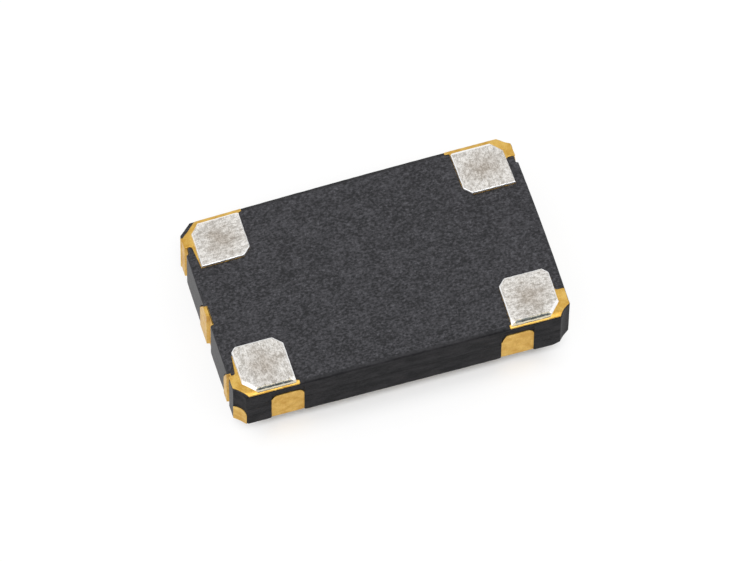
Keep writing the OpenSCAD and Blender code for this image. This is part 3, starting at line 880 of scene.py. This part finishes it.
class Material:
    """A procedural material. Its patterns are in millimetres, in the frame of the part."""

    def __init__(self, name):
        self.mat = bpy.data.materials.new(name)
        self.mat.use_nodes = True
        self.tree = self.mat.node_tree
        self.shader = next(n for n in self.tree.nodes if n.type == "BSDF_PRINCIPLED")
        self.coords = self.node("ShaderNodeTexCoord")
        self.mm = self.node("ShaderNodeMapping", Vector=self.coords.outputs["Object"])
        self.mm.inputs["Scale"].default_value = (1 / MM,) * 3

    def node(self, kind, **inputs):
        n = self.tree.nodes.new(kind)
        for name, value in inputs.items():
            self.put(n.inputs[name.replace("_", " ")], value)
        return n

    def put(self, socket, value):
        if isinstance(value, bpy.types.NodeSocket):
            self.tree.links.new(value, socket)
        elif isinstance(value, bpy.types.Node):
            self.tree.links.new(value.outputs[0], socket)
        else:
            socket.default_value = value

    def set(self, **inputs):
        for name, value in inputs.items():
            self.put(self.shader.inputs[name.replace("_", " ")], value)

    def stretched(self, scale):
        """The pattern's coordinates times this. A factor below 1 draws the pattern out."""
        n = self.node("ShaderNodeMapping", Vector=self.mm)
        n.inputs["Scale"].default_value = scale
        return n

    def grain(self, scale, detail=2.0, rough=0.5, vector=None, distortion=0.0):
        """Noise with this many features per millimetre."""
        return self.node("ShaderNodeTexNoise", Vector=vector or self.mm, Scale=scale, Detail=detail,
                         Roughness=rough, Distortion=distortion).outputs["Fac"]

    def parts(self, vector):
        """The X, Y and Z of a vector."""
        return self.node("ShaderNodeSeparateXYZ", Vector=vector).outputs

    def math(self, operation, a, b=0.0, c=0.0):
        n = self.node("ShaderNodeMath")
        n.operation = operation
        for socket, value in zip(n.inputs, (a, b, c)):
            self.put(socket, value)
        return n.outputs[0]

    def blend(self, a, share, b):
        """Two patterns, with this share of the first."""
        return self.math("ADD", self.math("MULTIPLY", a, share), self.math("MULTIPLY", b, 1 - share))

    def between(self, value, low, high, to_low=0.0, to_high=1.0):
        """Carries the range low..high to to_low..to_high, and no further."""
        n = self.node("ShaderNodeMapRange")
        for name, v in (("Value", value), ("From Min", low), ("From Max", high),
                        ("To Min", to_low), ("To Max", to_high)):
            self.put(n.inputs[name], v)
        return n.outputs["Result"]

    def mix(self, factor, a, b):
        n = self.node("ShaderNodeMix")
        n.data_type = "RGBA"
        for socket, value in ((n.inputs[0], factor), (n.inputs[6], a), (n.inputs[7], b)):
            self.put(socket, (*value, 1.0) if isinstance(value, tuple) else value)
        return n.outputs[2]

    def bump(self, height, depth_mm, before=None):
        n = self.node("ShaderNodeBump", Height=height, Strength=1.0, Distance=depth_mm * MM)
        if before is not None:
            self.put(n.inputs["Normal"], before)
        return n.outputs["Normal"]


def ceramic_material():
    """Black alumina: fine pale grains in a dark ground, smoother and darker on the pressed and snapped
    sides, where the seam between two layers shows."""
    m = Material("black_alumina")
    normal = m.parts(m.coords.outputs["Normal"])
    flat = m.between(normal["Z"], 0.93, 0.992)
    fine = m.grain(60.0, 2.0, 0.6)
    grain = m.grain(32.0, 3.0, 0.7, vector=m.stretched((0.7, 1.0, 1.0)))
    grain = m.blend(grain, 0.76, m.grain(11.0, 3.0, 0.6))
    tone = m.between(m.blend(grain, 0.88, m.grain(2.2, 3.0)), 0.42, 0.59)
    fleck = m.between(m.math("MULTIPLY_ADD", fine, 0.7, grain), 0.93, 1.12, 0.0, 0.5)
    top = m.mix(tone, (0.0005, 0.0005, 0.001), (0.040, 0.039, 0.044))
    top = m.mix(fleck, top, (0.12, 0.119, 0.13))
    streak = m.grain(9.0, 2.0, vector=m.stretched((0.35, 1.0, 1.0)))
    streak = m.between(m.blend(streak, 0.6, grain), 0.4, 0.62)
    side = m.mix(streak, (0.008, 0.008, 0.009), (0.023, 0.022, 0.024))
    height = m.math("MULTIPLY_ADD", m.grain(1.2), 0.10, m.parts(m.mm)["Z"])
    from_seam = m.math("ABSOLUTE", m.math("SUBTRACT", height, SEAM_Z))
    side = m.mix(m.between(from_seam, 0.003, 0.014, 0.75, 0.0), side, (0.002, 0.002, 0.002))
    smooth = m.math("MULTIPLY", m.math("ADD", fine, flat), 0.3)
    # painted shade: the long sides reflect less than the short ones, which darkens the front side
    long_side = m.between(m.math("ABSOLUTE", normal["Y"]), 0.12, 0.5)
    m.set(Base_Color=m.mix(flat, side, top), Roughness=m.between(smooth, 0.1, 0.5, 0.48, 0.72),
          Normal=m.bump(m.blend(grain, 0.7, fine), 0.006), Specular_Tint=(0.95, 0.955, 1.0, 1.0),
          Specular_IOR_Level=m.math("MULTIPLY_ADD", long_side, -0.43, m.between(fine, 0.3, 0.7, 0.46, 0.54)))
    return m.mat


def gold_material():
    """Gold plate over a printed and fired layer: matt, with faint brighter and duller patches."""
    m = Material("gold_plate")
    fine = m.grain(60.0, 2.0, 0.6)
    patch = m.between(m.blend(fine, 0.35, m.grain(7.0, 3.0, 0.55)), 0.40, 0.62)
    m.set(Base_Color=m.mix(patch, (0.585, 0.335, 0.063), (0.76, 0.505, 0.138)), Metallic=1.0,
          Roughness=m.between(m.grain(18.0, 2.0), 0.3, 0.7, 0.33, 0.52),
          Normal=m.bump(m.blend(fine, 0.35, m.grain(20.0)), 0.0022))
    return m.mat


def solder_material(name, along_x, rolled, seed):
    """Tin over nickel: fine grained and scratched, with a duller brownish middle and a painted highlight on
    the tilted facets. On a rolled coat, shade is painted in where it faces the front, darker where it is
    steep."""
    m = Material(name)
    m.mm.inputs["Location"].default_value = (seed, -seed, 0.0)
    normal = m.parts(m.coords.outputs["Normal"])
    middle = m.node("ShaderNodeVectorMath", Vector=m.coords.outputs["Generated"])
    middle.operation = "DISTANCE"
    middle.inputs[1].default_value = (0.5, 0.5, 0.95)
    away = m.math("MULTIPLY_ADD", m.grain(6.0, 3.0), 0.55, middle.outputs["Value"])
    dull = m.between(away, 0.72, 0.34, 0.0, 0.76)
    brushed = m.stretched((0.5, 1.15, 1.0) if along_x else (1.1, 0.7, 1.0))
    mottle = m.blend(m.grain(12.0, 3.0, 0.6), 0.5, m.grain(34.0, 3.0, 0.6, vector=brushed, distortion=0.3))
    fine = m.grain(62.0, 2.0, 0.6)
    grit = m.between(m.blend(fine, 0.4, mottle), 0.43, 0.57)
    scratch = m.grain(27.0, 3.0, 0.6, vector=m.stretched((0.35, 1.4, 1.0) if along_x else (1.4, 0.35, 1.0)))
    tone = m.mix(grit, (0.515, 0.488, 0.45), (0.895, 0.87, 0.83))
    tone = m.mix(m.between(scratch, 0.55, 0.67, 0.0, 0.5), tone, (0.88, 0.87, 0.86))
    tone = m.mix(m.between(scratch, 0.45, 0.34, 0.0, 0.45), tone, (0.34, 0.31, 0.28))
    tone = m.mix(dull, tone, m.mix(grit, (0.285, 0.24, 0.195), (0.52, 0.465, 0.405)))
    # painted highlight: a facet that tilts away from the top gets a near white colour
    rim = m.between(normal["Z"], 0.935, 0.89)
    if rolled:
        # painted shade: low where the surface faces the front and the pattern is dark, and higher on the
        # corners' facets
        front = m.math("MULTIPLY_ADD", m.math("ABSOLUTE", normal["X"]), 1.2, normal["Y"])
        front = m.math("MULTIPLY_ADD", mottle, 0.9, m.math("SUBTRACT", front, 0.45))
        tone = m.mix(m.between(front, -0.06, -0.24), tone, (0.37, 0.33, 0.245))
        # painted shade, darkest on the steep front slope above the foot
        above_foot = m.between(m.parts(m.mm)["Z"], Z_TOP + 0.012, Z_TOP + 0.020)
        steep = m.math("MULTIPLY", m.between(front, -0.34, -0.56), above_foot)
        tone = m.mix(steep, tone, (0.17, 0.18, 0.172))
        # the painted highlight is kept off the facets that face the front
        rim = m.math("MULTIPLY", rim, m.between(front, -0.18, -0.08))
    m.set(Base_Color=m.mix(rim, tone, (0.95, 0.95, 0.95)), Metallic=1.0,
          Roughness=m.between(mottle, 0.3, 0.7, 0.26, 0.42),
          Normal=m.bump(m.blend(mottle, 0.6, fine), 0.003, m.bump(scratch, 0.003)))
    return m.mat


def grained_material(name, dark, light, rough, scale, depth, metallic=1.0, stretch=(1.0, 1.0, 1.0)):
    """A satin metal with fine grain and faint clouds, or a solid that isn't a metal, whose colour follows its
    grain."""
    m = Material(name)
    grain = m.grain(scale, 3.0, 0.6, vector=m.stretched(stretch))
    cloud = m.grain(scale * 0.1, 2.0) if metallic else grain
    m.set(Base_Color=m.mix(m.between(cloud, 0.35, 0.65), dark, light), Metallic=metallic,
          Roughness=m.between(grain, 0.3, 0.7, *rough), Normal=m.bump(grain, depth))
    return m.mat


def quartz_material():
    """Clear etched quartz."""
    m = Material("quartz_plate")
    etch = m.grain(30.0, 3.0)
    m.set(Base_Color=m.mix(m.between(etch, 0.3, 0.7), (0.90, 0.93, 0.95), (0.96, 0.97, 0.98)),
          Roughness=m.between(etch, 0.3, 0.7, 0.08, 0.2), Normal=m.bump(etch, 0.001),
          Transmission_Weight=0.9, IOR=1.54)
    return m.mat


CERAMIC = ceramic_material()
GOLD = gold_material()
NICKEL = grained_material("nickel_plate", (0.56, 0.54, 0.50), (0.66, 0.64, 0.60), (0.30, 0.46), 26.0, 0.0015,
                          stretch=(0.2, 1.6, 1.0))
FRAME_GOLD = grained_material("frame_gold", (0.74, 0.50, 0.18), (0.84, 0.60, 0.25), (0.30, 0.45), 24.0,
                              0.0015)
BRAZE = grained_material("silver_braze", (0.62, 0.60, 0.55), (0.74, 0.72, 0.67), (0.30, 0.5), 12.0, 0.004)
INNER_GOLD = grained_material("inner_gold", (0.76, 0.50, 0.17), (0.86, 0.60, 0.24), (0.28, 0.42), 40.0,
                              0.0008)
WIRE_GOLD = grained_material("wire_gold", (0.84, 0.58, 0.22), (0.90, 0.64, 0.28), (0.16, 0.26), 60.0, 0.0003)
FILM_GOLD = grained_material("film_gold", (0.82, 0.58, 0.24), (0.88, 0.66, 0.32), (0.10, 0.20), 30.0, 0.0003)
TUNGSTEN = grained_material("tungsten", (0.30, 0.29, 0.28), (0.38, 0.37, 0.36), (0.45, 0.6), 50.0, 0.001)
SILICON = grained_material("silicon", (0.10, 0.11, 0.14), (0.16, 0.17, 0.20), (0.1, 0.2), 12.0, 0.0004, 0.0)
ADHESIVE = grained_material("adhesive", (0.50, 0.49, 0.46), (0.64, 0.63, 0.60), (0.5, 0.7), 40.0, 0.002, 0.0)
GLUE = grained_material("silver_glue", (0.46, 0.46, 0.46), (0.60, 0.60, 0.60), (0.4, 0.6), 40.0, 0.002, 0.0)


# ---- pieces ----

CORNERS = {"front_left": (-1, -1), "front_right": (1, -1), "back_left": (-1, 1), "back_right": (1, 1)}
LANDS = {
    "front_left": dict(tail=0.045, notch_gap=0.040, tab_y=1.135, sliver=(0.008, 0.046), nick=0.085),
    "front_right": dict(tail=0.03, notch_gap=0.010, tab_y=1.115, sliver=(0.002, 0.003), nick=0.085),
    "back_left": dict(tail=0.05, notch_gap=0.062, tab_y=1.135, sliver=(0.004, 0.046), nick=0.0),
    "back_right": dict(tail=0.07, notch_gap=0.004, tab_y=1.190, sliver=(0.002, 0.003), nick=0.0),
}
COATS = {
    "front_left": dict(cuts=(0.135, 0.20, 0.075), inner=0.036, outer=0.010, facets=(0.020, 0.048, 0.0)),
    "front_right": dict(cuts=(0.11, 0.20, 0.085), inner=0.0, outer=0.010, facets=(0.014, 0.046, 0.0)),
    "back_left": dict(cuts=(0.12, 0.15, 0.0), inner=0.0, outer=-0.033, facets=(0.018, 0.020, 0.034)),
    "back_right": dict(cuts=(0.11, 0.17, 0.0), inner=0.0, outer=-0.035, facets=(0.012, 0.014, 0.044)),
}

ceramic().piece("ceramic", CERAMIC, "ceramic_body", "black_ceramic")

for number, (corner, (sx, sy)) in enumerate(CORNERS.items()):
    sheet = land(corner, sx, sy, 11.0 + number, **LANDS[corner])
    sheet.join(tab_gold(corner, 21.0 + number, flip=sx * sy < 0))
    sheet.piece("gold_land_" + corner, GOLD, "land_" + corner, "gold_plating")
    sheet = side_gold(corner, 31.0 + number)
    sheet.piece("channel_gold_" + corner, GOLD, "side_gold_" + corner, "gold_plating")

for number, (corner, (sx, sy)) in enumerate(CORNERS.items()):
    tin = solder_material("solder_" + corner, sx * sy < 0, sy < 0, 2.0 + number)
    coat = Pad(sx, sy, 41.0 + number, **COATS[corner]).build()
    coat.piece("solder_" + corner, tin, "pad_" + corner, "solder_coat")

for name, seed in (("left", 51.0), ("right", 52.0)):
    end_gold("end_" + name, seed).piece("end_channel_gold_" + name, GOLD, "end_gold_" + name, "gold_plating")
notch_gold().piece("corner_gold", GOLD, "notch_gold", "gold_plating")

lid = plate(rect_loop(*LID_HI[:2], LID_R), LID_LO[2], LID_HI[2], 0.012, dish=0.004)
lid.piece("lid_plate", NICKEL, "lid", "nickel_plated_lid")
seal_frame(SEAL_LO, SEAL_HI, 0.008).piece("seal_frame", FRAME_GOLD, "seal_ring", "gold_plated_frame")
seal_frame(BRAZE_LO, BRAZE_HI, 0.004).piece("braze_seam", BRAZE, "ring_braze", "braze")

# the CAD nodes that stay as they are
for node, material in (
        ("oscillator_chip", SILICON), ("chip_adhesive", ADHESIVE), ("terminal_vias", TUNGSTEN),
        ("crystal_glue", GLUE), ("crystal_blank", quartz_material()), ("bond_fingers", INNER_GOLD),
        ("crystal_pads", INNER_GOLD), ("bond_wires", WIRE_GOLD), ("electrode_upper", FILM_GOLD),
        ("electrode_lower", FILM_GOLD)):
    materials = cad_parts[node].data.materials
    materials.clear()
    materials.append(material)


# ---- floor, light and camera ----

WHITE = (1.0, 1.0, 1.0, 1.0)

# the floor's colour, how far it reaches, and its largest share of plain white beside the ends and the sides
PAPER, FLOOR_REACH = (0.95, 0.95, 0.95, 1.0), 500.0
END_GLOW, SIDE_GLOW = 0.86, 0.66

# the dome's strength, its strength in front, and the Y of the directions between which it changes
DOME, DOME_FRONT, DOME_EDGE = 0.95, 0.15, (-0.86, -0.70)

# each lamp's azimuth, clockwise from the back, its elevation, its distance and size in metres, and its
# share of white
LAMPS = {"top_box": (180, 66, 0.5, (0.60, 0.40), 0.50), "left_box": (-85, 25, 0.5, (0.5, 0.35), 0.03)}

# the camera's place from what it looks at, in radians and metres, and how far that lies right of and above
# the middle of the body's lower face in the picture, in millimetres
AZIMUTH, ELEVATION, ROLL, DISTANCE = -0.31321, 1.03618, 0.01612, 0.1224
AIM_RIGHT, AIM_UP = 0.0189, 0.2087
SENSOR, LENS = 36.0, 402.8


def floor_material():
    """White paper. A share of it is plain white to the camera, and the rest takes the light and the shadow.
    The share grows outwards, as the photograph's shadow ends soon, and beside the part's ends it hardly
    shows. Under the lid it is as large as there."""
    m = Material("floor_white")
    m.set(Base_Color=PAPER, Roughness=0.9, Specular_IOR_Level=0.0)
    path = m.node("ShaderNodeLightPath").outputs
    seen = m.math("MAXIMUM", path["Is Camera Ray"], path["Is Glossy Ray"])
    seen = m.math("MAXIMUM", seen, path["Is Transmission Ray"])
    place = m.parts(m.mm)
    across = m.math("ABSOLUTE", place["Y"])
    ends = m.between(m.math("ABSOLUTE", place["X"]), HALF_L - 0.55, HALF_L + 0.05)
    ends = m.math("MAXIMUM", ends, m.between(across, LID_HI[1], LID_HI[1] - 0.02))
    sides = m.between(across, HALF_W + 0.08, HALF_W + 0.37)
    share = m.math("MAXIMUM", m.math("MULTIPLY", ends, END_GLOW), m.math("MULTIPLY", sides, SIDE_GLOW))
    mixed = m.node("ShaderNodeMixShader", Fac=m.math("MULTIPLY", seen, share))
    m.put(mixed.inputs[1], m.shader)
    m.put(mixed.inputs[2], m.node("ShaderNodeEmission", Color=WHITE))
    out = next(n for n in m.tree.nodes if n.type == "OUTPUT_MATERIAL")
    m.put(out.inputs["Surface"], mixed)
    return m.mat


def make_floor():
    m = Mesh()
    steps = np.linspace(-FLOOR_REACH, FLOOR_REACH, 11)
    m.loft([m.add([(x, y, 0.0) for x in steps]) for y in steps], closed=False)
    m.make_object("floor", floor_material())


def make_world():
    """A white dome that is darker towards the front, and plain white to the camera."""
    world = bpy.data.worlds.new("studio")
    bpy.context.scene.world = world
    world.use_nodes = True
    nodes, links = world.node_tree.nodes, world.node_tree.links
    dome = next(n for n in nodes if n.type == "BACKGROUND")
    out = next(n for n in nodes if n.type == "OUTPUT_WORLD")
    direction, parts = nodes.new("ShaderNodeTexCoord"), nodes.new("ShaderNodeSeparateXYZ")
    shade = nodes.new("ShaderNodeMapRange")
    shade.interpolation_type = "SMOOTHSTEP"
    for name, value in zip(("From Min", "From Max", "To Min", "To Max"), (*DOME_EDGE, DOME_FRONT, DOME)):
        shade.inputs[name].default_value = value
    plain, path = nodes.new("ShaderNodeBackground"), nodes.new("ShaderNodeLightPath")
    mixed = nodes.new("ShaderNodeMixShader")
    for background in (dome, plain):
        background.inputs["Color"].default_value = WHITE
    for source, target in (
            (direction.outputs["Generated"], parts.inputs[0]), (parts.outputs["Y"], shade.inputs["Value"]),
            (shade.outputs[0], dome.inputs["Strength"]), (path.outputs["Is Camera Ray"], mixed.inputs[0]),
            (dome.outputs[0], mixed.inputs[1]), (plain.outputs[0], mixed.inputs[2]),
            (mixed.outputs[0], out.inputs["Surface"])):
        links.new(source, target)


def make_lamp(name, azimuth, elevation, distance, size, share):
    """A soft box. A white sheet that faces it and takes no other light renders at this share of white."""
    data = bpy.data.lights.new(name, "AREA")
    data.shape = "RECTANGLE"
    data.size, data.size_y = size
    data.energy = share * math.pi ** 2 * distance ** 2
    obj = bpy.data.objects.new(name, data)
    a, e = math.radians(azimuth), math.radians(elevation)
    towards = Vector((math.sin(a) * math.cos(e), math.cos(a) * math.cos(e), math.sin(e)))
    obj.location = towards * distance
    obj.rotation_euler = towards.to_track_quat("Z", "Y").to_euler()
    bpy.context.scene.collection.objects.link(obj)


def make_camera():
    """The camera at the photograph's viewing angle, with a long lens."""
    level = math.cos(ELEVATION)
    back = Vector((math.sin(AZIMUTH) * level, -math.cos(AZIMUTH) * level, math.sin(ELEVATION)))
    right = Vector((0, 0, 1)).cross(back).normalized()
    up = back.cross(right)
    right, up = math.cos(ROLL) * right + math.sin(ROLL) * up, math.cos(ROLL) * up - math.sin(ROLL) * right
    target = (Vector((0, 0, Z_BOTTOM)) + right * AIM_RIGHT + up * AIM_UP) * MM
    data = bpy.data.cameras.new("camera")
    data.sensor_width, data.lens = SENSOR, LENS
    data.clip_start, data.clip_end = 0.01, 10.0
    cam = bpy.data.objects.new("camera", data)
    turn = Matrix((right, up, back)).transposed().to_4x4()
    cam.matrix_world = Matrix.Translation(target + back * DISTANCE) @ turn
    bpy.context.scene.collection.objects.link(cam)
    bpy.context.scene.camera = cam


make_floor()
make_world()
for name, settings in LAMPS.items():
    make_lamp(name, *settings)
make_camera()

bpy.context.scene.view_settings.view_transform = "Standard"
